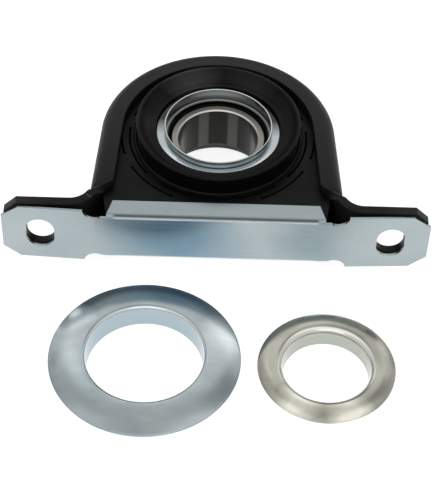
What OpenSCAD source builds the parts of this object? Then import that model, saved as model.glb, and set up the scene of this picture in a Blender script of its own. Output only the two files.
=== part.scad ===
// Driveshaft centre bearing: a sealed ball bearing in a rubber cushion, held by a lipped steel bracket
// on a zinc-plated base plate, with its two dust slingers lying beside it.
// The shaft axis is Z and the origin is the bearing's centre. X runs along the base plate, and the
// mounting face looks along -Y. The part lies on its back, on the rim of the rear rubber bowl.

/* [Base plate] */
// Height of the shaft axis above the mounting face
axis_height = 67.5; // [64:0.5:74]
// Distance between the centres of the two mounting slots
bolt_spacing = 193.7; // [190:0.1:204]
// Width of a mounting slot, along the plate
slot_width = 15.6; // [11:0.1:17]
// End-to-end length of a mounting slot, across the plate
slot_length = 21.2; // [18:0.1:25]
// Length of the base plate
plate_length = 236; // [228:0.5:250]
// Width of the base plate at its feet
plate_width = 38.5; // [37:0.1:44]
// Sheet thickness of the base plate
plate_thickness = 1.5; // [1:0.1:3]
// Length of the cut corner, along the plate
plate_corner_length = 9.5; // [5:0.5:12]
// Width of the cut corner, across the plate
plate_corner_width = 7.5; // [4:0.5:9]
// Width over the two turned-up flanges
flange_spread = 33.6; // [30:0.1:35]
// Height of the flanges above the mounting face
flange_height = 12; // [9:0.5:15]
// Length of a flange at its free edge
flange_length = 114; // [100:1:118]
// How far each end of a flange slants out towards the bend
flange_slant = 3; // [2:0.25:6]
// Inside radius of the flange bends
plate_bend_radius = 1.2; // [0.5:0.1:2.5]
// Distance of the relief notches from the middle of the plate
relief_place = 66.5; // [66:0.5:72]
// Radius of the relief notches
relief_radius = 6.6; // [4:0.1:7]
// Depth of the relief notches below the feet's edges
relief_depth = 5.4; // [4:0.1:6]
// Backward lean of the feet, in degrees
foot_lean = 3; // [0:0.5:5]

/* [Bracket] */
// Outside radius of the arch
arch_radius = 67; // [64:0.5:70]
// Outward lean of the legs, in degrees
leg_splay = 3.5; // [1:0.5:7]
// Width of the bracket along the shaft
bracket_width = 42; // [38:0.1:46]
// Sheet thickness of the bracket
bracket_thickness = 5.3; // [3.5:0.1:5.5]
// Width of the turned-in lips, measured from the outside of the bracket
lip_reach = 12.5; // [9:0.25:14]
// Outside radius of the bend between the web and a lip
lip_corner_radius = 6.5; // [5.6:0.1:7.5]
// Distance above the foot bend at which a lip starts to run out
lip_lead = 6; // [3:0.5:9]
// Length over which a lip runs out, down the leg and round the bend
lip_runout = 11; // [8:0.5:14]
// Radius of the hollow bend between a leg and its foot
foot_bend_radius = 11; // [8:0.5:13]
// Gap from the end of a foot to the end of the base plate
foot_margin = 1.5; // [0.5:0.25:3]
// Width of the cut corners of a foot
foot_corner = 7; // [4:0.5:9]

/* [Rubber cushion] */
// Gap between the cushion and the flanges at its faces
cushion_gap = 0.2; // [0.1:0.05:0.4]
// Gap between the cushion and the web of the bracket
cushion_fit = 0.1; // [0.05:0.05:0.3]
// Width of the cushion where it stands on the base plate
cushion_foot = 120; // [112:1:124]
// Outside radius of the bowl at its rim
rim_radius = 46.9; // [45.5:0.1:48]
// Distance of the bowl's rim from the middle of the bearing
rim_height = 26.7; // [24.5:0.1:30]
// Roundness of the bowl's rim
rim_bead = 1.1; // [0.6:0.1:1.6]
// Radius of the bowl's neck at the cushion's face
neck_radius = 43.2; // [42:0.1:44.5]
// Radius of curvature of the bowl's hollow
bowl_curve = 14; // [10:0.5:30]
// Outside radius of the raised ring round the bowl's foot
foot_ring_radius = 48.5; // [47:0.1:49]
// Height of the raised ring above the cushion's face
foot_ring_height = 1.2; // [0.6:0.1:1.6]
// Width of the arc slits
slit_width = 1.1; // [0.8:0.1:1.6]
// Diameter of the round ends of the slits
slit_end = 1.9; // [1.7:0.1:2.4]
// Radius of the inner row of slits
inner_slit_radius = 50.6; // [50:0.1:52]
// Radius of the outer row of slits
outer_slit_radius = 55.2; // [54:0.1:56.5]

/* [Retainer and guards] */
// Sheet thickness of the retainer
retainer_sheet = 1.5; // [1:0.1:2]
// Radius of the retainer's neck
retainer_neck = 35.9; // [35.2:0.1:37]
// Distance of the retainer's end face from the middle of the bearing
retainer_height = 19.1; // [17.5:0.1:20.5]
// Outside radius of the guard's upright lip
guard_radius = 30.85; // [30.4:0.05:32]
// Sheet thickness of the guard
guard_sheet = 0.9; // [0.6:0.1:1.2]
// Distance of the guard's free edge from the middle of the bearing
guard_height = 23.6; // [22:0.1:26]
// Distance of the guard's turned-in foot from the middle of the bearing
guard_foot = 14.6; // [14.2:0.1:16]
// Inside radius of the guard's turned-in foot
guard_opening = 28.9; // [28.5:0.1:29.5]

/* [Ball bearing] */
// Diameter of the shaft bore
bore_diameter = 45; // [38:0.5:46]
// Width of the inner race
inner_width = 27.6; // [26.5:0.1:28.2]
// Diameter of the inner race's collars
collar_diameter = 55.3; // [54:0.1:55.6]
// Chamfer at the ends of the bore
bore_chamfer = 1; // [0.5:0.1:1.5]
// Diameter of the shoulders beside the ball track
inner_shoulder = 57.2; // [56.4:0.1:58]
// Outside diameter of the bearing
outer_diameter = 85; // [84:0.5:86]
// Width of the outer race
outer_width = 22; // [21.4:0.1:23]
// Inside diameter of the outer race's shoulders
outer_shoulder = 73.2; // [72.4:0.1:74]
// Diameter of the circle through the balls' centres
pitch_diameter = 65; // [64.8:0.05:65.2]
// Diameter of a ball
ball_diameter = 12.7; // [12.4:0.1:12.9]
// Number of balls
ball_count = 9; // [7:1:10]
// Gap between a ball and the bottom of its tracks
ball_gap = 0.05; // [0.03:0.01:0.1]
// Radius of the tracks as a share of the ball's diameter
track_share = 0.52; // [0.515:0.005:0.54]
// Sheet thickness of the cage
cage_sheet = 0.9; // [0.6:0.1:1]
// Width of the cage across the ball circle
cage_width = 4.2; // [3.4:0.1:5]
// Gap between a ball and its cage pocket
pocket_gap = 0.15; // [0.1:0.05:0.25]
// Diameter of a cage rivet
rivet_diameter = 1.8; // [1.4:0.1:2.2]
// Thickness of a seal
seal_thickness = 2; // [1.4:0.1:2.2]
// Gap between a seal's lip and the inner race
seal_gap = 0.3; // [0.2:0.05:0.4]
// Wall of a seal's lip
seal_lip_wall = 1.6; // [1:0.1:2]

/* [Slingers] */
// Outside diameter of the large slinger
large_diameter = 102.5; // [96:0.5:108]
// Bore of the large slinger
large_bore = 62.5; // [58:0.5:66]
// Height of the large slinger
large_height = 14; // [10:0.25:16]
// Inside radius of the large slinger's shoulder
large_shoulder = 1.4; // [0.8:0.1:3]
// Slope of the large slinger's flange at its shoulder, in degrees
large_slope = 4; // [2:1:12]
// Radius of the large slinger's sweep, negative where its upper side is crowned
large_sweep = -51; // [-90:1:-30]
// Slope of the large slinger's brim, in degrees
large_brim = 22; // [14:1:26]
// Place of the large slinger along the base plate
large_x = -36; // [-46:0.5:-32]
// Place of the large slinger in front of the shaft axis
large_y = -138; // [-150:0.5:-132]
// Outside diameter of the small slinger
small_diameter = 73.5; // [70:0.5:78]
// Bore of the small slinger
small_bore = 46; // [40:0.5:48]
// Height of the small slinger's shoulder
small_height = 12; // [9:0.25:14]
// Inside radius of the small slinger's shoulder
small_shoulder = 2.4; // [1.5:0.1:3.5]
// Slope of the small slinger's flange at its shoulder, in degrees
small_slope = 32; // [20:1:40]
// Radius of the small slinger's sweep, hollow on its upper side
small_sweep = 9; // [5:0.5:12]
// Slope of the small slinger's brim, in degrees
small_brim = 3; // [0:1:10]
// Place of the small slinger along the base plate
small_x = 60.5; // [52:0.5:66]
// Place of the small slinger in front of the shaft axis
small_y = -142; // [-156:0.5:-136]
// Sheet thickness of the slingers
slinger_sheet = 1.2; // [0.8:0.1:1.6]

/* [Hidden] */
$fn = 96;
BALLS = [for (i = [1:ball_count]) str("ball_", i)];

// A cut reaches this far past the faces it goes through
past = 1;

// Base plate
mounting_face = -axis_height;
plate_top = mounting_face + plate_thickness;
plate_bend_outer = plate_bend_radius + plate_thickness;
flange_inside = flange_spread / 2 - plate_thickness;
bend_half = flange_length / 2 + flange_slant;
lean_rise = tan(foot_lean);

// Bracket: its feet stay clear of the plate up to their ends, and keep a wall round their slots
foot_wall = 4;
foot_seat = 0.05;
foot_end = max(plate_length / 2 - foot_margin, bolt_spacing / 2 + slot_width / 2 + foot_wall);
foot_contact = min(foot_end, plate_length / 2);
foot_low = plate_top + (foot_contact - relief_place) * lean_rise + foot_seat;
foot_top = foot_low + bracket_thickness;
// The leg runs from the arch to the start of the foot bend
leg_length = ((arch_radius + foot_bend_radius) * sin(leg_splay) - foot_top - foot_bend_radius)
    / cos(leg_splay);
bend_x = (arch_radius + foot_bend_radius) * cos(leg_splay) + leg_length * sin(leg_splay);
bend_y = foot_top + foot_bend_radius;
arch_steps = 20;
bend_steps = 14;
corner_steps = 7;
runout_steps = 5;
edge_strip = 1;
flat_turn = 0.1;

// Cushion
cushion_half = flange_inside - cushion_gap;
cushion_arch = arch_radius - bracket_thickness - cushion_fit;
skirt_radius = outer_diameter / 2 + retainer_sheet;
shoulder_height = outer_width / 2 + retainer_sheet;
retainer_edge = 0.8 * retainer_sheet;
floor_height = -rim_height;
slit_wall = 1.5;
slit_middle = (inner_slit_radius + outer_slit_radius) / 2;
slit_apart = max((outer_slit_radius - inner_slit_radius) / 2, (slit_end + slit_wall) / 2);
inner_slits = [[18, 84], [96, 162], [175, 218], [232, 308], [322, 365]];
outer_slits = [[158, 197], [210, 243], [297, 330], [343, 382]];

// Bearing
bore_radius = bore_diameter / 2;
collar_radius = collar_diameter / 2;
pitch_radius = pitch_diameter / 2;
ball_radius = ball_diameter / 2;
track_radius = track_share * ball_diameter;
seal_depth = 0.4;
seal_grip = 1.4;
seal_guard_gap = 1;
seal_seat = outer_width / 2 - seal_thickness - seal_depth;
seal_outer_radius = outer_shoulder / 2 + seal_grip;
seal_inner_radius = collar_radius + seal_gap;
seal_lip_height = guard_foot - seal_guard_gap;
shoulder_half = seal_seat - seal_depth;
cage_inner = pitch_radius - cage_width / 2;
cage_outer = pitch_radius + cage_width / 2;
pocket_radius = ball_radius + pocket_gap;
rivet_head_radius = 0.8 * rivet_diameter;
rivet_head_height = 0.35 * rivet_diameter;
ball_pitch = 360 / ball_count;

// Slingers
shoulder_steps = 14;
sweep_steps = 6;

ZINC = [0.72, 0.75, 0.78];
ZINC_YELLOW = [0.74, 0.72, 0.64];
BLACK_PAINT = [0.10, 0.10, 0.11];
RUBBER = [0.05, 0.05, 0.05];
STEEL = [0.62, 0.61, 0.58];
BRIGHT_STEEL = [0.80, 0.80, 0.80];

// Copies the children to the left as well, mirrored
module both_sides() {
    children();
    mirror([1, 0, 0]) children();
}

// Stands a flat outline up across Y: its own x stays X, its own y runs along Z, and it grows along +Y
module across_y(from_y, height) {
    translate([0, from_y, 0])
        rotate([-90, 0, 0])
            linear_extrude(height) children();
}

// Ring of rectangular section
module ring(inner, outer, height) {
    difference() {
        cylinder(r = outer, h = height);
        translate([0, 0, -past]) cylinder(r = inner, h = height + 2 * past);
    }
}

// Base plate

// Outline of a mounting slot, with round ends, at its place along the plate
module slot_outline() {
    straight = slot_length - slot_width;
    translate([bolt_spacing / 2, 0]) {
        square([slot_width, straight], center = true);
        for (side = [-1, 1])
            translate([0, side * straight / 2]) circle(d = slot_width);
    }
}

// Half of the plate's flat outline, from the relief notches out to the end
module plate_foot_outline() {
    half_l = plate_length / 2;
    half_w = plate_width / 2;
    polygon([[relief_place, -half_w], [half_l - plate_corner_length, -half_w],
        [half_l, plate_corner_width - half_w], [half_l, half_w - plate_corner_width],
        [half_l - plate_corner_length, half_w], [relief_place, half_w]]);
}

// Cross-section of the plate's middle: a flat with two turned-up flanges and round bends
module channel_section() {
    half = flange_spread / 2;
    difference() {
        union() {
            translate([0, plate_bend_outer - half])
                square([plate_bend_outer, flange_spread - 2 * plate_bend_outer]);
            translate([plate_bend_outer, -half])
                square([flange_height - plate_bend_outer, flange_spread]);
            for (side = [-1, 1])
                translate([plate_bend_outer, side * (half - plate_bend_outer)]) circle(r = plate_bend_outer);
        }
        translate([plate_thickness, plate_bend_outer - half])
            square([flange_height, flange_spread - 2 * plate_bend_outer]);
        translate([plate_bend_outer, -flange_inside]) square([flange_height, 2 * flange_inside]);
        for (side = [-1, 1])
            translate([plate_bend_outer, side * (half - plate_bend_outer)]) circle(r = plate_bend_radius);
    }
}

// The plate's middle, with the ends of its flanges slanted in towards the free edge
module plate_channel() {
    intersection() {
        translate([0, mounting_face, 0])
            rotate([90, 0, 90])
                linear_extrude(2 * bend_half, center = true) channel_section();
        linear_extrude(2 * flange_spread, center = true)
            polygon([[-bend_half, mounting_face - past], [bend_half, mounting_face - past],
                [bend_half, plate_top], [flange_length / 2, mounting_face + flange_height],
                [-flange_length / 2, mounting_face + flange_height], [-bend_half, plate_top]]);
    }
}

// Side view of the plate's flat: level between the relief notches, with feet that lean back
module flat_profile() {
    half_l = plate_length / 2;
    rise = (half_l - relief_place) * lean_rise;
    polygon([[-half_l, mounting_face + rise], [-relief_place, mounting_face], [relief_place, mounting_face],
        [half_l, mounting_face + rise], [half_l, plate_top + rise], [relief_place, plate_top],
        [-relief_place, plate_top], [-half_l, plate_top + rise]]);
}

// The flat, cut to its outline: the middle between the bends, the necks at the notches, and the feet
module plate_flat() {
    neck = flange_spread - plate_thickness - 2 * plate_bend_radius;
    intersection() {
        linear_extrude(2 * plate_width, center = true) flat_profile();
        union() {
            across_y(mounting_face - past, 2 * flange_height)
                square([2 * relief_place, flange_spread - 2 * plate_bend_outer], center = true);
            both_sides() {
                across_y(mounting_face - past, 2 * flange_height)
                    translate([bend_half - past, -neck / 2]) square([relief_place - bend_half + past, neck]);
                across_y(mounting_face - past, 2 * flange_height) plate_foot_outline();
            }
        }
    }
}

module base_plate() {
    notch_z = plate_width / 2 - relief_depth + relief_radius;
    color(ZINC) difference() {
        union() {
            plate_channel();
            plate_flat();
        }
        both_sides() {
            across_y(mounting_face - past, 2 * flange_height) slot_outline();
            for (side = [-1, 1])
                across_y(mounting_face - past, 2 * flange_height)
                    translate([relief_place, side * notch_z]) circle(r = relief_radius);
        }
    }
}

// Bracket

// Half of the bracket's cross-section as [depth below its outside, place along the shaft]: the lip's bend,
// its edge, and the inside corner. A lip that turns less keeps the length of its bend.
function half_section(turn, lip, half) = let (
    scale = 2 * half / bracket_width,
    radius = scale * lip_corner_radius * 90 / turn,
    low = half - radius * sin(turn) - scale * lip * cos(turn),
    edge = [radius * (1 - cos(turn)) + scale * lip * sin(turn), half])
    concat([for (i = [0:corner_steps]) let (a = turn * i / corner_steps)
            [radius * (1 - cos(a)), low + radius * sin(a)]],
        [edge, edge + bracket_thickness * [cos(turn), -sin(turn)],
            [bracket_thickness, low + (radius - bracket_thickness) * tan(turn / 2)]]);
function section(turn, lip, half) = let (front = half_section(turn, lip, half))
    concat(front, [for (i = [len(front) - 1:-1:0]) [front[i][0], -front[i][1]]]);

// Smooth run from 1 to 0 as the share goes from 0 to 1
function fade(share) = (1 + cos(180 * min(max(share, 0), 1))) / 2;

// What is left of a lip at a distance down the leg: first its straight part runs out, then its bend
function runout_share(d) = (d - leg_length + lip_lead) / lip_runout;
function lip_left(d) = edge_strip
    + (lip_reach - lip_corner_radius - edge_strip) * fade(runout_share(d) / 0.6);
function turn_left(d) = max(90 * fade((runout_share(d) - 0.3) / 0.7), flat_turn);

// A station of the bracket's run: [point on its outside, direction of depth, turn, lip, half width]
function station(point, direction, d) = [point, direction, turn_left(d), lip_left(d), bracket_width / 2];
function arch_station(a) = station(arch_radius * [cos(a), sin(a)], a + 180, 0);
function leg_station(d) = station(arch_radius * [cos(leg_splay), sin(leg_splay)]
    + d * [sin(leg_splay), -cos(leg_splay)], 180 + leg_splay, d);
function bend_station(share) = let (turned = (90 - leg_splay) * share, a = 180 + leg_splay + turned)
    station([bend_x, bend_y] + foot_bend_radius * [cos(a), sin(a)], a,
        leg_length + foot_bend_radius * turned * PI / 180);
function foot_station(x, half) = [[x, foot_top], 270, flat_turn, edge_strip, half];

// The same station on the left side
function mirrored(s) = [[-s[0][0], s[0][1]], 180 - s[1], s[2], s[3], s[4]];

// The run goes from the end of the left foot over the arch to the end of the right foot
right_run = concat([for (i = [1:arch_steps]) arch_station(90 + (leg_splay - 90) * i / arch_steps)],
    [for (i = [0:runout_steps - 1]) leg_station(leg_length - lip_lead * (1 - i / runout_steps))],
    [for (i = [0:bend_steps]) bend_station(i / bend_steps)],
    [foot_station(foot_end - foot_corner, bracket_width / 2),
        foot_station(foot_end, bracket_width / 2 - foot_corner)]);
run = concat([for (i = [len(right_run) - 1:-1:0]) mirrored(right_run[i])], [arch_station(90)], right_run);

// The pressed sheet, lofted through the sections at all stations of its run
module pressed_sheet() {
    half_count = corner_steps + 4;
    count = 2 * half_count;
    last = len(run) - 1;
    points = [for (s = run) for (p = section(s[2], s[3], s[4]))
        [s[0][0] + p[0] * cos(s[1]), s[0][1] + p[0] * sin(s[1]), p[1]]];
    function id(k, j) = k * count + j % count;
    sides = [for (k = [0:last - 1]) for (j = [0:count - 1])
        for (t = [[id(k, j), id(k + 1, j + 1), id(k, j + 1)], [id(k, j), id(k + 1, j), id(k + 1, j + 1)]]) t];
    // Each end is closed by fans about the two inside corners and a strip across the web
    fans = [for (j = [0:half_count - 3])
        for (t = [[j, j + 1, half_count - 1], [count - 2 - j, count - 1 - j, half_count]]) t];
    end = concat(fans, [[0, half_count - 1, half_count], [0, half_count, count - 1]]);
    left_end = [for (t = end) [for (j = t) id(0, j)]];
    right_end = [for (t = end) [id(last, t[2]), id(last, t[1]), id(last, t[0])]];
    polyhedron(points, concat(sides, left_end, right_end), convexity = 6);
}

module bracket() {
    color(BLACK_PAINT) difference() {
        pressed_sheet();
        both_sides() across_y(foot_low - past, bracket_thickness + 2 * past) slot_outline();
    }
}

// Rubber cushion

// Outline of the cushion's block, inside the bracket and down to the base plate
module cushion_outline() {
    leg_low = leg_length - lip_lead - cushion_fit;
    corner_x = cushion_arch * cos(leg_splay) + leg_low * sin(leg_splay);
    corner_y = cushion_arch * sin(leg_splay) - leg_low * cos(leg_splay);
    top_x = cushion_arch * cos(leg_splay);
    top_y = cushion_arch * sin(leg_splay);
    circle(r = cushion_arch);
    polygon([[top_x, top_y], [corner_x, corner_y], [cushion_foot / 2, plate_top],
        [-cushion_foot / 2, plate_top], [-corner_x, corner_y], [-top_x, top_y]]);
}

// Half-section of the raised bowl: a neck that flares to a beaded rim, a hollow, and a ring round its foot
module bowl_section() {
    lip = [rim_radius - 2 * rim_bead, rim_height - rim_bead / 2];
    seat = [retainer_neck, retainer_height];
    middle = (lip + seat) / 2;
    chord = norm(lip - seat);
    along = (lip - seat) / chord;
    centre = middle + [-along[1], along[0]] * sqrt(pow(bowl_curve, 2) - pow(chord / 2, 2));
    difference() {
        polygon([[retainer_neck, cushion_half - past], [neck_radius, cushion_half - past],
            [neck_radius, cushion_half], [rim_radius, rim_height - rim_bead],
            [rim_radius - rim_bead, rim_height - rim_bead / 2], lip, seat]);
        translate(centre) circle(r = bowl_curve);
    }
    translate([rim_radius - rim_bead, rim_height - rim_bead]) circle(r = rim_bead);
    translate([foot_ring_radius - foot_ring_height, cushion_half]) circle(r = foot_ring_height);
}

// An arc slit right through the block, with wider round ends
module slit(radius, span) {
    height = 2 * (cushion_half + foot_ring_height + past);
    rotate([0, 0, span[0]])
        rotate_extrude(angle = span[1] - span[0])
            translate([radius - slit_width / 2, -height / 2]) square([slit_width, height]);
    for (a = span)
        rotate([0, 0, a])
            translate([radius, 0, -height / 2]) cylinder(d = slit_end, h = height);
}

// Takes the cushion's lower front edge off, clear of the round bend of the base plate
module edge_relief() {
    cut = plate_bend_radius + past;
    rotate([90, 0, 90])
        linear_extrude(2 * cushion_foot, center = true)
            polygon([[plate_top - past, cushion_half - cut], [plate_top + cut, cushion_half + past],
                [plate_top - past, cushion_half + past]]);
}

module rubber_cushion() {
    color(RUBBER) difference() {
        union() {
            linear_extrude(2 * cushion_half, center = true) cushion_outline();
            for (side = [0, 1])
                mirror([0, 0, side]) rotate_extrude() bowl_section();
        }
        cylinder(r = skirt_radius, h = 2 * shoulder_height, center = true);
        cylinder(r = retainer_neck, h = 2 * rim_height, center = true);
        for (span = inner_slits) slit(slit_middle - slit_apart, span);
        for (span = outer_slits) slit(slit_middle + slit_apart, span);
        for (side = [0, 1]) mirror([0, 0, side]) edge_relief();
    }
}

// Retainer and guards

// Half-section of a retainer: a skirt round the bearing, a shoulder, and a neck with a turned-in end
module retainer_section() {
    half_outer = outer_width / 2;
    translate([skirt_radius - retainer_sheet, 0]) square([retainer_sheet, shoulder_height]);
    translate([retainer_neck - retainer_sheet, half_outer])
        square([skirt_radius - retainer_neck + retainer_sheet, retainer_sheet]);
    translate([retainer_neck - retainer_sheet, half_outer])
        square([retainer_sheet, retainer_height - half_outer - retainer_edge]);
    translate([guard_radius, retainer_height - retainer_sheet])
        square([retainer_neck - retainer_edge - guard_radius, retainer_sheet]);
    translate([retainer_neck - retainer_edge, retainer_height - retainer_edge]) circle(r = retainer_edge);
}

module retainer() {
    color(ZINC) rotate_extrude() retainer_section();
}

module front_retainer() {
    retainer();
}

module rear_retainer() {
    mirror([0, 0, 1]) retainer();
}

// Half-section of a guard: an upright lip with a round edge, and a foot turned in on a radius
module guard_section() {
    fillet = guard_sheet;
    inside = guard_radius - guard_sheet;
    translate([inside, guard_foot + guard_sheet])
        square([guard_sheet, guard_height - guard_foot - 1.5 * guard_sheet]);
    translate([inside + guard_sheet / 2, guard_height - guard_sheet / 2]) circle(d = guard_sheet);
    translate([guard_opening, guard_foot])
        square([guard_radius - guard_sheet - guard_opening, guard_sheet]);
    translate([guard_radius - guard_sheet, guard_foot + guard_sheet]) circle(r = guard_sheet);
    difference() {
        translate([inside - fillet, guard_foot + guard_sheet]) square(fillet);
        translate([inside - fillet, guard_foot + guard_sheet + fillet]) circle(r = fillet);
    }
}

module guard() {
    color(ZINC) rotate_extrude() guard_section();
}

module front_guard() {
    guard();
}

module rear_guard() {
    mirror([0, 0, 1]) guard();
}

// Ball bearing

// A seal: a disc in the outer race's recess, and a lip that stands up round the inner race's collar
module seal() {
    color(RUBBER) {
        translate([0, 0, seal_seat]) ring(seal_inner_radius, seal_outer_radius, seal_thickness);
        translate([0, 0, seal_seat])
            ring(seal_inner_radius, seal_inner_radius + seal_lip_wall, seal_lip_height - seal_seat);
    }
}

module front_seal() {
    seal();
}

module rear_seal() {
    mirror([0, 0, 1]) seal();
}

module outer_race() {
    half = outer_width / 2;
    track_centre = pitch_radius + ball_radius + ball_gap - track_radius;
    color(STEEL) rotate_extrude() difference() {
        translate([outer_shoulder / 2, -half])
            square([outer_diameter / 2 - outer_shoulder / 2, outer_width]);
        translate([track_centre, 0]) circle(r = track_radius);
        for (low = [-half - past, seal_seat])
            translate([0, low]) square([seal_outer_radius, half + past - seal_seat]);
    }
}

module inner_race() {
    half = inner_width / 2;
    track_centre = pitch_radius - ball_radius - ball_gap + track_radius;
    edge = bore_chamfer / 2;
    color(STEEL) rotate_extrude() difference() {
        union() {
            polygon([[bore_radius + bore_chamfer, -half], [collar_radius - edge, -half],
                [collar_radius, edge - half], [collar_radius, half - edge], [collar_radius - edge, half],
                [bore_radius + bore_chamfer, half], [bore_radius, half - bore_chamfer],
                [bore_radius, bore_chamfer - half]]);
            translate([bore_radius, -shoulder_half])
                square([inner_shoulder / 2 - bore_radius, 2 * shoulder_half]);
        }
        translate([track_centre, 0]) circle(r = track_radius);
    }
}

// Puts the children at the ball with this number, counted from the +X side
module at_ball(number) {
    rotate([0, 0, (number - 1) * ball_pitch]) translate([pitch_radius, 0, 0]) children();
}

module ball(number) {
    color(BRIGHT_STEEL) at_ball(number) sphere(r = ball_radius);
}

// Half of the cage: flat lands between the balls and a round pocket over each ball
module cage_half() {
    color(STEEL) difference() {
        intersection() {
            ring(cage_inner, cage_outer, pocket_radius + cage_sheet);
            union() {
                cylinder(r = cage_outer + past, h = cage_sheet);
                for (i = [1:ball_count]) at_ball(i) sphere(r = pocket_radius + cage_sheet);
            }
        }
        for (i = [1:ball_count]) {
            at_ball(i) sphere(r = pocket_radius);
            at_ball(i + 0.5) cylinder(d = rivet_diameter, h = 3 * cage_sheet, center = true);
        }
    }
}

module front_cage() {
    cage_half();
}

module rear_cage() {
    mirror([0, 0, 1]) cage_half();
}

module cage_rivets() {
    head_z = cage_sheet;
    color(BRIGHT_STEEL) for (i = [1:ball_count]) at_ball(i + 0.5) {
        cylinder(d = rivet_diameter, h = 2 * head_z, center = true);
        for (low = [head_z, -head_z - rivet_head_height])
            translate([0, 0, low]) cylinder(r = rivet_head_radius, h = rivet_head_height);
    }
}

// Slingers

// Middle line of a slinger that stands on its collar, as [radius, height, direction of its upper side]:
// the collar, a round shoulder that turns down to the slope, a sweep within its room, and the brim
function slinger_line(bore, diameter, height, shoulder, slope, sweep, brim) = let (
    top = shoulder + slinger_sheet / 2,
    centre = [bore / 2 + slinger_sheet + shoulder, height - slinger_sheet - shoulder],
    foot = centre + top * [sin(slope), cos(slope)],
    room = (diameter / 2 - slinger_sheet / 2 - foot[0]) / abs(sin(slope) - sin(brim)),
    curve = sign(sweep) * min(abs(sweep), room),
    above = foot + curve * [sin(slope), cos(slope)],
    edge = above - curve * [sin(brim), cos(brim)],
    rest = (diameter / 2 - slinger_sheet / 2 * sin(brim) - edge[0]) / cos(brim),
    turn = 90 + slope)
    concat([[bore / 2 + slinger_sheet / 2, 0, 180]],
        [for (i = [0:shoulder_steps]) let (a = 180 - turn * i / shoulder_steps)
            [centre[0] + top * cos(a), centre[1] + top * sin(a), a]],
        [for (i = [1:sweep_steps]) let (a = 90 - slope + (slope - brim) * i / sweep_steps)
            [above[0] - curve * cos(a), above[1] - curve * sin(a), a]],
        [[edge[0] + rest * cos(brim), edge[1] - rest * sin(brim), 90 - brim]]);

// Sheet of revolution about a middle line
module sheet_ring(line, thickness) {
    upper = [for (p = line) [p[0] + thickness / 2 * cos(p[2]), p[1] + thickness / 2 * sin(p[2])]];
    lower = [for (p = line) [p[0] - thickness / 2 * cos(p[2]), p[1] - thickness / 2 * sin(p[2])]];
    rotate_extrude() polygon(concat(upper, [for (i = [len(lower) - 1:-1:0]) lower[i]]));
}

module large_slinger() {
    color(ZINC) translate([large_x, large_y, floor_height])
        sheet_ring(slinger_line(large_bore, large_diameter, large_height, large_shoulder, large_slope,
            large_sweep, large_brim), slinger_sheet);
}

module small_slinger() {
    color(ZINC_YELLOW) translate([small_x, small_y, floor_height])
        sheet_ring(slinger_line(small_bore, small_diameter, small_height, small_shoulder, small_slope,
            small_sweep, small_brim), slinger_sheet);
}

bracket();
base_plate();
rubber_cushion();
front_retainer();
rear_retainer();
front_guard();
rear_guard();
front_seal();
rear_seal();
outer_race();
inner_race();
for (i = [1:ball_count]) ball(i);
front_cage();
rear_cage();
cage_rivets();
large_slinger();
small_slinger();
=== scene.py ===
"""Looks of the driveshaft centre bearing: finer meshes over the CAD frame, materials, light and camera.

Lengths are in millimetres until Blender gets them, except for the lamps, which are placed in metres. The
frame is the CAD's: Z is the shaft axis, X runs along the base plate, and the mounting face looks along -Y.
"""

import math

import bmesh
import bpy
from mathutils import Matrix, Vector


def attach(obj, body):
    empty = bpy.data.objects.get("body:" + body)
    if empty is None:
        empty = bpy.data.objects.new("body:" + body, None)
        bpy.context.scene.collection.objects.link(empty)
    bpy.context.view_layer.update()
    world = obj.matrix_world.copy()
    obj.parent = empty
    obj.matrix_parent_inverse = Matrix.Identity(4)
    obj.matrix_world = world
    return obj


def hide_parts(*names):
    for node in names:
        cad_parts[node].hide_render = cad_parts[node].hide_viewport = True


MM = 0.001

# Sizes repeated from the CAD source
AXIS_HEIGHT = 67.5
BOLT_SPACING = 193.7
SLOT_WIDTH, SLOT_LENGTH = 15.6, 21.2
PLATE_LENGTH, PLATE_THICKNESS = 236.0, 1.5
FLANGE_LENGTH, FLANGE_SPREAD = 114.0, 33.6
RELIEF_PLACE, FOOT_LEAN, FOOT_SEAT = 66.5, 3.0, 0.05
ARCH_RADIUS, LEG_SPLAY = 67.0, 3.5
BRACKET_WIDTH, BRACKET_SHEET = 42.0, 5.3
LIP_REACH, LIP_CORNER = 12.5, 6.5
LIP_LEAD, LIP_RUNOUT, EDGE_STRIP = 6.0, 11.0, 1.0
FOOT_BEND, FOOT_MARGIN, FOOT_CORNER = 11.0, 1.5, 7.0
RETAINER_HEIGHT = 19.1
GUARD_RADIUS, GUARD_HEIGHT, GUARD_SHEET = 30.85, 23.6, 0.9
BORE_RADIUS, RACE_RADIUS, RACE_HALF_WIDTH = 22.5, 27.65, 13.8
BALL_COUNT = 9
FLOOR_HEIGHT = -26.7
SLINGER_SHEET = 1.2

FOOT_END = PLATE_LENGTH / 2 - FOOT_MARGIN
FOOT_LOW = (PLATE_THICKNESS - AXIS_HEIGHT + FOOT_SEAT
            + (FOOT_END - RELIEF_PLACE) * math.tan(math.radians(FOOT_LEAN)))
FOOT_TOP = FOOT_LOW + BRACKET_SHEET

# Sizes of the scene's own pieces. In a slinger, slope is the fall of the flange next to the shoulder and brim
# the fall at its rim, both in degrees, and a negative sweep makes the flange crowned.
LARGE_CENTRE, SMALL_CENTRE = (-36, -138), (60.5, -140.5)
LARGE_SIZES = {"bore": 62.5, "diameter": 102.5, "height": 14, "shoulder": 1.4,
               "slope": 4, "sweep": -51, "brim": 22}
SMALL_SIZES = {"bore": 46, "diameter": 73.5, "height": 12, "shoulder": 3.5,
               "slope": 3, "sweep": -17, "brim": 30}
BOWL_LIP_INSIDE, BOWL_LIP_OUTSIDE = 35.6, 41.5
BOWL_LIP_RISE, BOWL_LIP_FALL = 2.0, 0.7
SHEET_EDGE, SLOT_FLARE = 0.6, 0.5

CREASE = 40  # edges sharper than this many degrees stay sharp


# Mesh helpers


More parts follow.
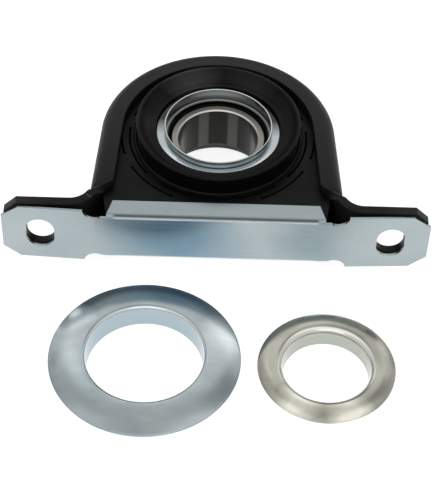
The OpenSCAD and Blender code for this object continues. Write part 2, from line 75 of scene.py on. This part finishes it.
def polar(radius, degrees):
    angle = math.radians(degrees)
    return Vector((radius * math.cos(angle), radius * math.sin(angle)))


def rounded(corners, steps=4):
    """Closed outline from (x, y, radius) corners, each corner rounded by its radius."""
    points = []
    for i, (x, y, radius) in enumerate(corners):
        here = Vector((x, y))
        back = Vector(corners[i - 1][:2]) - here
        ahead = Vector(corners[(i + 1) % len(corners)][:2]) - here
        if radius == 0:
            points += [here] * (steps + 1)
            continue
        back.normalize()
        ahead.normalize()
        half = back.angle(ahead) / 2
        reach = radius / math.tan(half)
        centre = here + (back + ahead).normalized() * radius / math.sin(half)
        first = here + back * reach - centre
        last = here + ahead * reach - centre
        turn = first.angle_signed(last)
        for k in range(steps + 1):
            points.append(centre + Matrix.Rotation(-turn * k / steps, 2) @ first)
    return points


def smooth(mesh):
    mesh.shade_smooth()
    mesh.set_sharp_from_angle(angle=math.radians(CREASE))


def mesh_object(name, vertices, faces):
    """New object from points in millimetres, cleaned and shaded smooth between its creases."""
    mesh = bpy.data.meshes.new(name)
    mesh.from_pydata([Vector(v) * MM for v in vertices], [], faces)
    clean = bmesh.new()
    clean.from_mesh(mesh)
    bmesh.ops.remove_doubles(clean, verts=clean.verts, dist=1e-6)
    bmesh.ops.dissolve_degenerate(clean, edges=clean.edges, dist=1e-6)
    bmesh.ops.recalc_face_normals(clean, faces=clean.faces)
    clean.to_mesh(mesh)
    clean.free()
    smooth(mesh)
    thing = bpy.data.objects.new(name, mesh)
    bpy.context.scene.collection.objects.link(thing)
    return thing


def lathe(name, outline, centre=(0, 0, 0), turns=200):
    """Ring of revolution about Z from a closed outline of (radius, height)."""
    place = Vector(centre)
    vertices, faces = [], []
    count = len(outline)
    for k in range(turns):
        for radius, height in outline:
            across = polar(radius, 360 * k / turns)
            vertices.append(place + Vector((across.x, across.y, height)))
        for j in range(count):
            ahead, other = (k + 1) % turns, (j + 1) % count
            faces.append((k * count + j, ahead * count + j, ahead * count + other, k * count + other))
    return mesh_object(name, vertices, faces)


def loft(name, sections):
    """Closed skin through closed sections with the same number of points."""
    count = len(sections[0])
    vertices = [p for section in sections for p in section]
    faces = [tuple(range(count)), tuple(range(len(vertices) - 1, len(vertices) - count - 1, -1))]
    for k in range(len(sections) - 1):
        for j in range(count):
            other = (j + 1) % count
            faces.append((k * count + j, (k + 1) * count + j, (k + 1) * count + other, k * count + other))
    return mesh_object(name, vertices, faces)


def stand_in(piece, node, body, material):
    """The piece takes a CAD node's place, on its body and with its finish."""
    piece.data.materials.append(material)
    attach(piece, body)
    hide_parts(node)


def cut(piece, tools):
    """Takes the tools' volumes out of the piece and removes the tools."""
    for tool in tools:
        modifier = piece.modifiers.new("cut", "BOOLEAN")
        modifier.object = tool
        modifier.solver = "EXACT"
    graph = bpy.context.evaluated_depsgraph_get()
    result = bpy.data.meshes.new_from_object(piece.evaluated_get(graph))
    piece.modifiers.clear()
    old = piece.data
    piece.data = result
    bpy.data.meshes.remove(old)
    result.name = piece.name
    smooth(result)
    for tool in tools:
        bpy.data.objects.remove(tool)


# Material helpers


def grey(value):
    return (value, value, value)


class Nodes:
    """Adds nodes to a tree and links them."""

    def __init__(self, tree):
        self.tree = tree

    def add(self, kind, links=None, **values):
        """New node. Links gives each socket another node's output or a plain value."""
        node = self.tree.nodes.new(kind)
        for key, value in values.items():
            setattr(node, key, value)
        for socket, value in (links or {}).items():
            if isinstance(value, bpy.types.NodeSocket):
                self.tree.links.new(value, node.inputs[socket])
            else:
                node.inputs[socket].default_value = value
        return node

    def spread(self, value, low, high, to_low, to_high):
        """Maps a value to a range, clamped."""
        links = {"Value": value, "From Min": low, "From Max": high, "To Min": to_low, "To Max": to_high}
        return self.add("ShaderNodeMapRange", links).outputs["Result"]

    def colours(self, value, *stops):
        """Colour ramp with (place, colour) stops."""
        node = self.add("ShaderNodeValToRGB", {"Fac": value})
        ramp = node.color_ramp
        while len(ramp.elements) < len(stops):
            ramp.elements.new(0.5)
        for element, (where, colour) in zip(ramp.elements, stops):
            element.position = where
            element.color = (*colour, 1)
        return node.outputs["Color"]

    def blend(self, share, first, second):
        """First colour at share 0, second at share 1; a colour is a socket or three numbers."""
        node = self.add("ShaderNodeMix", data_type="RGBA")
        for socket, value in zip((0, 6, 7), (share, first, second)):
            if isinstance(value, bpy.types.NodeSocket):
                self.tree.links.new(value, node.inputs[socket])
            else:
                node.inputs[socket].default_value = (*value, 1)
        return node.outputs[2]

    def math(self, operation, first, second=0.0):
        return self.add("ShaderNodeMath", {0: first, 1: second}, operation=operation).outputs[0]

    def both(self, first, second):
        """Mask that is 1 where both masks are."""
        return self.math("MULTIPLY", first, second)

    def parts(self, vector):
        """The three parts of a vector."""
        node = self.add("ShaderNodeSeparateXYZ", {0: vector})
        return [node.outputs[k] for k in "XYZ"]

    def level_length(self, x, y):
        """Length of a vector seen from above."""
        flat = self.add("ShaderNodeCombineXYZ", {"X": x, "Y": y}).outputs[0]
        return self.add("ShaderNodeVectorMath", {0: flat}, operation="LENGTH").outputs["Value"]


class Finish(Nodes):
    """A material under construction, with its base colour so far."""

    def __init__(self, name, **sockets):
        self.material = bpy.data.materials.new(name)
        self.material.use_nodes = True
        super().__init__(self.material.node_tree)
        self.shader = self.tree.nodes["Principled BSDF"]
        for socket, value in sockets.items():
            self.shader.inputs[socket.replace("_", " ")].default_value = value
        self.place = self.add("ShaderNodeTexCoord").outputs["Object"]
        self.colour = None

    def noise(self, size, detail, stretch=(1, 1, 1), place=None):
        """Noise with features about this many millimetres across, stretched along the axes."""
        scale = [1 / (size * MM * s) for s in stretch]
        mapped = self.add("ShaderNodeMapping", {"Vector": place or self.place, "Scale": scale})
        links = {"Vector": mapped.outputs[0], "Scale": 1.0, "Detail": detail, "Roughness": 0.55}
        return self.add("ShaderNodeTexNoise", links).outputs["Fac"]

    def around(self, centre):
        """Place as (angle, radius, height) about an upright axis, so that noise can follow a turned ring."""
        links = {0: self.place, 1: [c * MM for c in centre]}
        x, y, z = self.parts(self.add("ShaderNodeVectorMath", links, operation="SUBTRACT").outputs[0])
        ring = {"X": self.math("ARCTAN2", y, x), "Y": self.level_length(x, y), "Z": z}
        return self.add("ShaderNodeCombineXYZ", ring).outputs[0]

    def rise(self, value, low, high):
        """Mask that goes from 0 at low to 1 at high, in millimetres."""
        return self.spread(value, low * MM, high * MM, 0, 1)

    def fall(self, value, low, high):
        """Mask that goes from 1 at low to 0 at high, in millimetres."""
        return self.spread(value, low * MM, high * MM, 1, 0)

    def band(self, value, low, high, soft=0.3):
        """Mask that is 1 from low to high in millimetres, and fades over the soft margins beside them."""
        return self.both(self.rise(value, low - soft, low), self.fall(value, high, high + soft))

    def patch(self, centre, reach):
        """Mask that is 1 at a place and fades to 0 at this many millimetres from it, with a cloudy edge."""
        cloud_size, cloud_reach = 18, 8
        links = {0: self.place, 1: [c * MM for c in centre]}
        away = self.add("ShaderNodeVectorMath", links, operation="DISTANCE").outputs["Value"]
        cloud = self.noise(cloud_size, 4, (1.5, 1, 1))
        cloudy = self.spread(cloud, 0, 1, -cloud_reach * MM, cloud_reach * MM)
        return self.fall(self.math("ADD", away, cloudy), 0.25 * reach, reach)

    def bump(self, height, strength, depth):
        """Bump of this strength, with its depth in millimetres."""
        links = {"Height": height, "Strength": strength, "Distance": depth * MM}
        self.set("Normal", self.add("ShaderNodeBump", links).outputs[0])

    def tint(self, mask, colour):
        """Covers the base colour with another one where the mask is 1."""
        self.colour = self.blend(mask, self.colour, colour)

    def set(self, socket, value):
        self.tree.links.new(value, self.shader.inputs[socket])

    def done(self):
        """Links the base colour and gives the material."""
        self.set("Base Color", self.colour)
        return self.material


# Materials


def black_paint():
    """Black paint, glossier towards the top of the arch, with a painted highlight along its edges."""
    f = Finish("black_paint", Specular_IOR_Level=0.3)
    _, y, _ = f.parts(f.place)
    f.set("Specular IOR Level", f.spread(y, -60 * MM, ARCH_RADIUS * MM, 0.18, 0.43))
    f.colour = f.colours(f.noise(30, 4), (0.3, grey(0.005)), (0.7, grey(0.009)))
    # Painted highlight: lighter paint along the sharp edges, found by pointiness
    edges = f.spread(f.add("ShaderNodeNewGeometry").outputs["Pointiness"], 0.53, 0.60, 0, 1)
    f.tint(edges, grey(0.05))
    f.set("Roughness", f.spread(f.noise(14, 4), 0.3, 0.7, 0.42, 0.54))
    f.bump(f.noise(0.9, 2), 0.08, 0.04)
    return f.done()


def rubber():
    """Moulded rubber with a painted sheen at three places in the front bowl."""
    # Painted sheen on the inside of the front bowl: place, reach and tone of each paler patch
    painted_sheens = (((-17, 39, 24), 20, 0.040), ((20, 40, 24), 17, 0.014), ((-41, 2, 24), 12, 0.010))
    f = Finish("rubber", Specular_IOR_Level=0.15)
    f.colour = f.colours(f.noise(22, 5), (0.35, grey(0.0024)), (0.75, (0.0042, 0.0041, 0.0040)))
    for place, reach, tone in painted_sheens:
        f.tint(f.patch(place, reach), grey(tone))
    f.set("Roughness", f.spread(f.noise(9, 4), 0.3, 0.7, 0.34, 0.48))
    f.bump(f.noise(0.5, 3), 0.10, 0.03)
    return f.done()


def zinc(name, pale, deep, centre=None, rough=(0.19, 0.28)):
    """Zinc plating: cloudy, with rolling lines along the plate or turning lines round a ring's centre."""
    f = Finish(name, Metallic=1.0)
    f.colour = f.colours(f.noise(26, 5, (1.6, 1, 1)), (0.3, deep), (0.7, pale))
    if centre is None:
        lines = f.noise(0.7, 3, (60, 1, 1))
    else:
        lines = f.noise(0.5, 3, (1600, 1, 1), f.around(centre))
    f.set("Roughness", f.spread(lines, 0.25, 0.75, *rough))
    f.bump(lines, 0.06, 0.02)
    return f


def plate_zinc():
    """Plating of the base plate, with darker blue reflections of the slingers painted on its mounting face,
    and a painted highlight and a painted shadow line along its bends.
    """
    painted_reflections = ((-22, 44, (0.19, 0.295, 0.375)), (52, 26, (0.265, 0.335, 0.36)))
    # A painted highlight, then a painted shadow line in the bend; from and to, inside the flange's outer face
    bend_highlight_and_shadow = ((2.2, 1.4, (0.56, 0.61, 0.63)), (0.9, 0.4, (0.10, 0.12, 0.13)))
    flange_place, flange_end = FLANGE_SPREAD / 2, FLANGE_LENGTH / 2
    f = zinc("plate_zinc", (0.40, 0.45, 0.465), (0.345, 0.405, 0.425), rough=(0.25, 0.34))
    x, y, z = f.parts(f.place)
    face = f.fall(y, 0.7 - AXIS_HEIGHT, 1.4 - AXIS_HEIGHT)
    # Painted reflections of the slingers: darker blue patches on the mounting face
    for middle, reach, blue in painted_reflections:
        f.tint(f.both(face, f.patch((middle, -AXIS_HEIGHT, 0), reach)), blue)
    flanged = f.fall(f.math("ABSOLUTE", x), flange_end - 2, flange_end)
    for start, stop, tone in bend_highlight_and_shadow:
        line = f.band(f.math("ABSOLUTE", z), flange_place - start, flange_place - stop)
        f.tint(f.both(flanged, line), tone)
    return f.done()


def large_zinc():
    """Plating of the large slinger: a painted dark reflection along the far rim, with a painted highlight at
    each end of that.
    """
    centre, bore = (*LARGE_CENTRE, 0), LARGE_SIZES["bore"] / 2
    f = zinc("large_zinc", (0.54, 0.60, 0.615), (0.36, 0.425, 0.45), centre, (0.18, 0.25))
    angle, radius, _ = f.parts(f.around(centre))
    middle, full, gone = (math.radians(degrees) for degrees in (98, 38, 75))
    off = f.math("ABSOLUTE", f.math("SUBTRACT", angle, middle))
    # Painted dark reflection along the far rim
    far = f.spread(off, full, gone, 1, 0)
    f.tint(f.both(far, f.rise(radius, 42.5, 47)), (0.20, 0.25, 0.29))
    # Painted highlights at each end of the far rim
    for place, reach in (((-76, -116, -18), 13), ((6, -122, -18), 15)):
        f.tint(f.patch(place, reach), (0.82, 0.89, 0.91))
    f.tint(f.band(radius, 0, bore + 0.05, 0.1), (0.375, 0.46, 0.505))  # wall of the bore
    f.tint(f.band(radius, bore + 0.25, bore + 1.05, 0.15), (0.86, 0.90, 0.91))  # painted highlight on the shoulder
    return f.done()


def small_zinc():
    """Yellowish plating of the small slinger, with two painted highlights on the near part of its flange."""
    centre, bore = (*SMALL_CENTRE, 0), SMALL_SIZES["bore"] / 2
    f = zinc("small_zinc", (0.60, 0.59, 0.51), (0.36, 0.355, 0.305), centre, (0.16, 0.25))
    # Painted highlights on the near part of the flange
    for place, reach in (((44, -165, -17), 14), ((72, -170, -18), 13)):
        f.tint(f.patch(place, reach), (0.95, 0.93, 0.82))
    _, radius, _ = f.parts(f.around(centre))
    f.tint(f.band(radius, 0, bore + 0.05, 0.1), (0.42, 0.445, 0.40))  # wall of the bore
    f.tint(f.band(radius, bore + 0.9, bore + 2.4, 0.7), (0.93, 0.925, 0.87))  # painted highlight on the shoulder
    return f.done()


def ring_zinc():
    """Plating of the retainers: painted lighter towards the base plate as a highlight, and painted dark where
    the bowl shades it.
    """
    f = zinc("ring_zinc", (0.56, 0.61, 0.62), (0.48, 0.535, 0.55), (0, 0, 0))
    _, y, _ = f.parts(f.place)
    # Painted highlight on the side towards the base plate
    f.tint(f.fall(y, -26, -14), (0.82, 0.87, 0.88))
    # Painted shade where the bowl shades the far side
    f.tint(f.rise(y, -4, 9), (0.06, 0.065, 0.066))
    return f.done()


def guard_zinc():
    """Plating of the guards: a painted shadow line at the foot, dull inside and painted dark there at the
    rear as shade, and bare along the free edge, painted bright enough to stand in for its highlight.
    """
    wall, edge = GUARD_RADIUS - GUARD_SHEET / 2, GUARD_HEIGHT - GUARD_SHEET / 2
    f = zinc("guard_zinc", (0.33, 0.39, 0.40), (0.26, 0.32, 0.33), (0, 0, 0))
    _, radius, height = f.parts(f.around((0, 0, 0)))
    level = f.math("ABSOLUTE", height)
    # Painted shadow line where the guard meets the retainer
    f.tint(f.fall(level, RETAINER_HEIGHT + 0.4, RETAINER_HEIGHT + 1), (0.03, 0.04, 0.04))
    # Inner wall: dull at the front, painted dark at the rear as shade
    inner_dull_and_shade = f.blend(f.rise(height, -5, 5), grey(0.05), (0.30, 0.325, 0.32))
    f.tint(f.fall(radius, wall - 0.1, wall + 0.1), inner_dull_and_shade)
    # Bare metal along the free edge, painted bright as its highlight
    f.tint(f.rise(level, edge, edge + 0.15), (0.72, 0.74, 0.72))
    return f.done()


def ground_steel():
    """Ground steel with lines round it: a bore painted dark as shade with painted reflections as streaks
    along it, and a painted highlight on the chamfer.
    """
    f = Finish("ground_steel", Metallic=1.0, Anisotropic=0.7, Anisotropic_Rotation=0.25)
    ring = f.around((0, 0, 0))
    angle, radius, height = f.parts(ring)
    lines = f.noise(0.25, 3, (2400, 1, 1), ring)
    f.colour = f.colours(lines, (0.3, (0.28, 0.268, 0.245)), (0.7, (0.37, 0.355, 0.33)))
    # Painted shade in the bore, with painted reflections as streaks along it
    streak_count = 8
    wave = f.spread(f.math("COSINE", f.math("MULTIPLY", angle, streak_count)), -1, 1, 1, 0)
    reflection_streaks = f.colours(wave, (0.6, (0.026, 0.026, 0.025)), (0.85, (0.085, 0.084, 0.080)))
    f.tint(f.fall(radius, BORE_RADIUS + 0.2, BORE_RADIUS + 0.6), reflection_streaks)
    # Painted highlight along the chamfer at the edge of the bore
    f.tint(f.band(radius, BORE_RADIUS + 0.4, BORE_RADIUS + 0.9, 0.2), (0.80, 0.775, 0.73))
    # The outermost part of the race's end faces is painted black as shade, which widens the dark ring of the
    # seals beside it
    rim = f.rise(radius, RACE_RADIUS - 1.4, RACE_RADIUS - 1.2)
    end = f.rise(f.math("ABSOLUTE", height), RACE_HALF_WIDTH - 0.9, RACE_HALF_WIDTH - 0.7)
    f.tint(f.both(rim, end), grey(0.004))
    f.set("Roughness", f.spread(lines, 0.25, 0.75, 0.24, 0.36))
    f.set("Tangent", f.add("ShaderNodeTangent", direction_type="RADIAL", axis="Z").outputs[0])
    return f.done()


def ball_steel():
    f = Finish("ball_steel", Metallic=1.0)
    f.colour = f.colours(f.noise(3, 2), (0.3, grey(0.60)), (0.7, grey(0.66)))
    f.set("Roughness", f.spread(f.noise(2, 3), 0.3, 0.7, 0.08, 0.14))
    return f.done()


# Bracket


def bracket_section(turn, lip, half):
    """Cross-section as (depth, place along the shaft): web, bends, and lips with rounded edges."""
    sheet, share, angle = BRACKET_SHEET, 2 * half / BRACKET_WIDTH, math.radians(turn)
    radius = share * LIP_CORNER * 90 / turn
    lip *= share
    low = half - radius * math.sin(angle) - lip * math.cos(angle)
    outer = (radius * (1 - math.cos(angle)) + lip * math.sin(angle), half)
    inner = (outer[0] + sheet * math.cos(angle), outer[1] - sheet * math.sin(angle))
    bend = math.tan(angle / 2)
    front = [(0, low + radius * bend, radius), (*outer, SHEET_EDGE), (*inner, SHEET_EDGE),
             (sheet, low + (radius - sheet) * bend, radius - sheet)]
    return rounded(front + [(d, -w, r) for d, w, r in reversed(front)], 8)


def fade(share):
    """Smooth run from 1 to 0 as the share goes from 0 to 1."""
    return (1 + math.cos(math.pi * min(max(share, 0), 1))) / 2


def bracket_run():
    """Stations from the middle of the arch to the end of the right foot: point, depth direction, section."""
    arch_steps, leg_steps, bend_steps = 48, 12, 40
    straight_ends, bend_opens = 0.6, 0.3  # shares of the run-out
    half, splay = BRACKET_WIDTH / 2, math.radians(LEG_SPLAY)
    leg = ((ARCH_RADIUS + FOOT_BEND) * math.sin(splay) - FOOT_TOP - FOOT_BEND) / math.cos(splay)
    down = polar(1, LEG_SPLAY - 90)
    centre = polar(ARCH_RADIUS + FOOT_BEND, LEG_SPLAY) + down * leg

    def station(point, direction, distance):
        share = (distance - leg + LIP_LEAD) / LIP_RUNOUT
        lip = EDGE_STRIP + (LIP_REACH - LIP_CORNER - EDGE_STRIP) * fade(share / straight_ends)
        turn = max(90 * fade((share - bend_opens) / (1 - bend_opens)), 1)
        return point, direction, turn, lip, half

    stations = []
    for k in range(arch_steps + 1):
        angle = 90 + (LEG_SPLAY - 90) * k / arch_steps
        stations.append(station(polar(ARCH_RADIUS, angle), angle + 180, 0))
    for k in range(leg_steps):
        distance = leg - LIP_LEAD * (1 - k / leg_steps)
        point = polar(ARCH_RADIUS, LEG_SPLAY) + down * distance
        stations.append(station(point, 180 + LEG_SPLAY, distance))
    for k in range(bend_steps + 1):
        turned = (90 - LEG_SPLAY) * k / bend_steps
        angle = 180 + LEG_SPLAY + turned
        distance = leg + FOOT_BEND * math.radians(turned)
        stations.append(station(centre + polar(FOOT_BEND, angle), angle, distance))
    for x, width in ((FOOT_END - FOOT_CORNER, half), (FOOT_END, half - FOOT_CORNER)):
        stations.append((Vector((x, FOOT_TOP)), 270, 1, EDGE_STRIP, width))
    return stations


def slot_tool(side):
    """Cutter for a foot's slot, flared at both faces so that the slot gets rounded edges."""
    flare_steps, sides = 4, 64
    levels = [(FOOT_LOW - 1, SLOT_FLARE)]
    for k in range(flare_steps + 1):
        turn = math.pi / 2 * k / flare_steps
        levels.append((FOOT_LOW + SLOT_FLARE * (1 - math.cos(turn)), SLOT_FLARE * (1 - math.sin(turn))))
    levels += [(FOOT_TOP + FOOT_LOW - y, grow) for y, grow in reversed(levels)]
    middle, straight = side * BOLT_SPACING / 2, (SLOT_LENGTH - SLOT_WIDTH) / 2
    rings = []
    for y, grow in levels:
        ring = []
        for k in range(sides):
            p = polar(SLOT_WIDTH / 2 + grow, 360 * (k + 0.5) / sides)
            ring.append((middle + p.x, y, p.y + math.copysign(straight, p.y)))
        rings.append(ring)
    return loft("slot_tool", rings)


def make_bracket(material):
    right = bracket_run()
    left = [(Vector((-p.x, p.y)), 180 - angle, *rest) for p, angle, *rest in reversed(right[1:])]
    sections = []
    for point, angle, turn, lip, half in left + right:
        inward = polar(1, angle)
        sections.append([(point.x + d * inward.x, point.y + d * inward.y, w)
                         for d, w in bracket_section(turn, lip, half)])
    piece = loft("bracket_body", sections)
    cut(piece, [slot_tool(side) for side in (-1, 1)])
    stand_in(piece, "bracket", "housing", material)


# Bowl


def make_bowl_lip(material):
    """Inner edge of the rubber bowl, which stands up round the retainer's end face."""
    low, top = RETAINER_HEIGHT - 1, RETAINER_HEIGHT + BOWL_LIP_RISE
    corners = [(BOWL_LIP_INSIDE, low, 0), (BOWL_LIP_OUTSIDE, low, 0),
               (BOWL_LIP_OUTSIDE, top - BOWL_LIP_FALL, 0.8), (BOWL_LIP_INSIDE, top, 0.7)]
    for side, name in ((1, "front_bowl_lip"), (-1, "rear_bowl_lip")):
        piece = lathe(name, [(p.x, side * p.y) for p in rounded(corners)], turns=120)
        piece.data.materials.append(material)
        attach(piece, "housing")


# Slingers


def slinger_outline(bore, diameter, height, shoulder, slope, sweep, brim):
    """Outline of a slinger that stands on its collar: collar, round shoulder, sweep and brim."""
    shoulder_steps, sweep_steps, lip_steps = 20, 12, 8
    half = SLINGER_SHEET / 2
    top = shoulder + half
    centre = Vector((bore / 2 + SLINGER_SHEET + shoulder, height - SLINGER_SHEET - shoulder))
    line = [(Vector((bore / 2 + half, 0)), 180)]
    for k in range(shoulder_steps + 1):
        angle = 180 - (90 + slope) * k / shoulder_steps
        line.append((centre + polar(top, angle), angle))
    sweep_centre = centre + polar(top + sweep, 90 - slope)
    for k in range(1, sweep_steps + 1):
        angle = 90 - slope + (slope - brim) * k / sweep_steps
        line.append((sweep_centre - polar(sweep, angle), angle))
    edge = line[-1][0]
    rest = (diameter / 2 - half - edge.x) / math.cos(math.radians(brim))
    line.append((edge + polar(rest, -brim), 90 - brim))
    upper = [p + polar(half, a) for p, a in line]
    lower = [p - polar(half, a) for p, a in line]
    lip = [line[-1][0] + polar(half, 90 - brim - 180 * k / lip_steps) for k in range(1, lip_steps)]
    return upper + lip + lower[::-1]


def make_slinger(name, centre, sizes, material):
    piece = lathe(name + "_ring", slinger_outline(**sizes), (*centre, FLOOR_HEIGHT), 240)
    stand_in(piece, name, "housing", material)


# Light, floor and camera


def area_light(name, place, size, power):
    """Rectangular lamp that shines at the middle of the part; place and size are in metres."""
    target = Vector((0, -0.05, 0))
    data = bpy.data.lights.new(name, "AREA")
    data.shape = "RECTANGLE"
    data.size, data.size_y = size
    data.energy = power
    lamp = bpy.data.objects.new(name, data)
    lamp.location = place
    lamp.rotation_euler = (target - Vector(place)).to_track_quat("-Z", "Y").to_euler()
    bpy.context.scene.collection.objects.link(lamp)


def make_world():
    """Studio walls as brightness by height, for zones from the front round to straight behind the part."""
    front = ((0, 0.5), (0.6, 0.6), (0.85, 0.9), (0.945, 0.92), (0.985, 0.6), (1, 0.58))
    gap = ((0, 0.45), (0.4, 0.6), (0.6, 0.42), (0.75, 0.4), (0.85, 0.42), (0.93, 0.58))
    flank = ((0, 0.4), (0.18, 0.7), (0.3, 1.1), (0.45, 0.95), (0.85, 0.88), (0.91, 0.58))
    behind = ((0, 0.10), (0.34, 0.13), (0.44, 0.25), (0.545, 0.88), (0.85, 0.92), (0.91, 0.58))
    world = bpy.data.worlds.new("studio")
    bpy.context.scene.world = world
    world.use_nodes = True
    n = Nodes(world.node_tree)
    x, y, z = n.parts(n.add("ShaderNodeTexCoord").outputs["Generated"])
    ahead = n.math("DIVIDE", y, n.level_length(x, y))

    def zone(stops):
        return n.colours(z, *[(where, grey(value)) for where, value in stops])

    light = zone(front)
    for stops, low, high in ((gap, 0.2, 0.45), (flank, 0.74, 0.84), (behind, 0.92, 0.97)):
        light = n.blend(n.spread(ahead, low, high, 0, 1), light, zone(stops))
    background = world.node_tree.nodes["Background"]
    world.node_tree.links.new(light, background.inputs["Color"])
    background.inputs["Strength"].default_value = 1.0


def make_floor():
    reach, height = 3000, FLOOR_HEIGHT - 0.02
    corners = [(-reach, -reach), (reach, -reach), (reach, reach), (-reach, reach)]
    floor = mesh_object("floor", [(x, y, height) for x, y in corners], [(0, 1, 2, 3)])
    f = Finish("floor_paper", Roughness=0.9, Specular_IOR_Level=0.1, Emission_Strength=0.85)
    f.colour = f.colours(f.noise(60, 3), (0.3, grey(0.50)), (0.7, grey(0.52)))
    f.shader.inputs["Emission Color"].default_value = (1, 1, 1, 1)
    floor.data.materials.append(f.done())


def make_camera():
    """Camera at the photograph's viewing angle, for a frame 435 wide and 495 high."""
    frame_height, focal, sensor = 495, 1600, 36  # pixels, pixels and millimetres
    azimuth, elevation, roll = math.radians(-0.6), math.radians(47.5), math.radians(2.08)
    distance = 884
    aim = Vector((1.25, -69.92, -3.45))
    data = bpy.data.cameras.new("camera")
    data.sensor_width = sensor
    data.lens = sensor * focal / frame_height
    data.clip_start, data.clip_end = 0.05, 20
    camera = bpy.data.objects.new("camera", data)
    level = Vector((math.sin(azimuth), -math.cos(azimuth), 0))
    back = level * math.cos(elevation) + Vector((0, 0, math.sin(elevation)))
    camera.location = (aim + back * distance) * MM
    turn = (-back).to_track_quat("-Z", "Y").to_matrix() @ Matrix.Rotation(roll, 3, "Z")
    camera.rotation_euler = turn.to_euler()
    bpy.context.scene.collection.objects.link(camera)
    bpy.context.scene.camera = camera


# CAD nodes


def dress(node, material, width=0):
    """A CAD node keeps its shape, and gets a material, smooth shading and edges softened by this width."""
    sharp = math.radians(35)
    node.data.materials.clear()
    node.data.materials.append(material)
    node.data.shade_smooth()
    node.modifiers.new("weld", "WELD").merge_threshold = 1e-6
    if width:
        bevel = node.modifiers.new("soft_edges", "BEVEL")
        bevel.width = width * MM
        bevel.segments = 3
        bevel.limit_method = "ANGLE"
        bevel.angle_limit = sharp
    node.modifiers.new("crisp_edges", "EDGE_SPLIT").split_angle = sharp
    if width:
        node.modifiers.new("flat_faces", "WEIGHTED_NORMAL").keep_sharp = True


def dress_nodes(nodes, rubber_finish):
    """Every CAD node that stays in view gets its finish."""
    plate, ring, guard = plate_zinc(), ring_zinc(), guard_zinc()
    steel, ball = ground_steel(), ball_steel()
    dress(nodes["base_plate"], plate, 0.3)
    dress(nodes["rubber_cushion"], rubber_finish)
    for side in ("front", "rear"):
        dress(nodes[side + "_retainer"], ring)
        dress(nodes[side + "_guard"], guard)
        dress(nodes[side + "_seal"], rubber_finish, 0.3)
        dress(nodes[side + "_cage"], steel)
    dress(nodes["cage_rivets"], steel)
    dress(nodes["outer_race"], steel)
    dress(nodes["inner_race"], steel, 0.2)
    for number in range(1, BALL_COUNT + 1):
        dress(nodes[f"ball_{number}"], ball)


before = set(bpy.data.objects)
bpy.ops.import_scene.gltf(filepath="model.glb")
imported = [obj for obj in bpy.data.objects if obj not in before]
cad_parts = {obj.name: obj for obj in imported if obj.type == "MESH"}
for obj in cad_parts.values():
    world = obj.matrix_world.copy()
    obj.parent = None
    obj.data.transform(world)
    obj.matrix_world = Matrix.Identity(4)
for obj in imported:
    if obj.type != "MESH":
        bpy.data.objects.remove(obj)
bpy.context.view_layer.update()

RUBBER = rubber()
make_bracket(black_paint())
make_slinger("large_slinger", LARGE_CENTRE, LARGE_SIZES, large_zinc())
make_slinger("small_slinger", SMALL_CENTRE, SMALL_SIZES, small_zinc())
make_bowl_lip(RUBBER)
dress_nodes(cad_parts, RUBBER)

make_world()
make_floor()
area_light("key", (-0.75, 0.55, 1.15), (0.8, 0.6), 0.4)
area_light("right", (0.9, 0.9, 0.85), (0.6, 0.6), 0.35)
area_light("front", (-0.1, -1.3, 0.9), (1.4, 0.7), 1.4)
make_camera()
bpy.context.scene.view_settings.view_transform = "Standard"
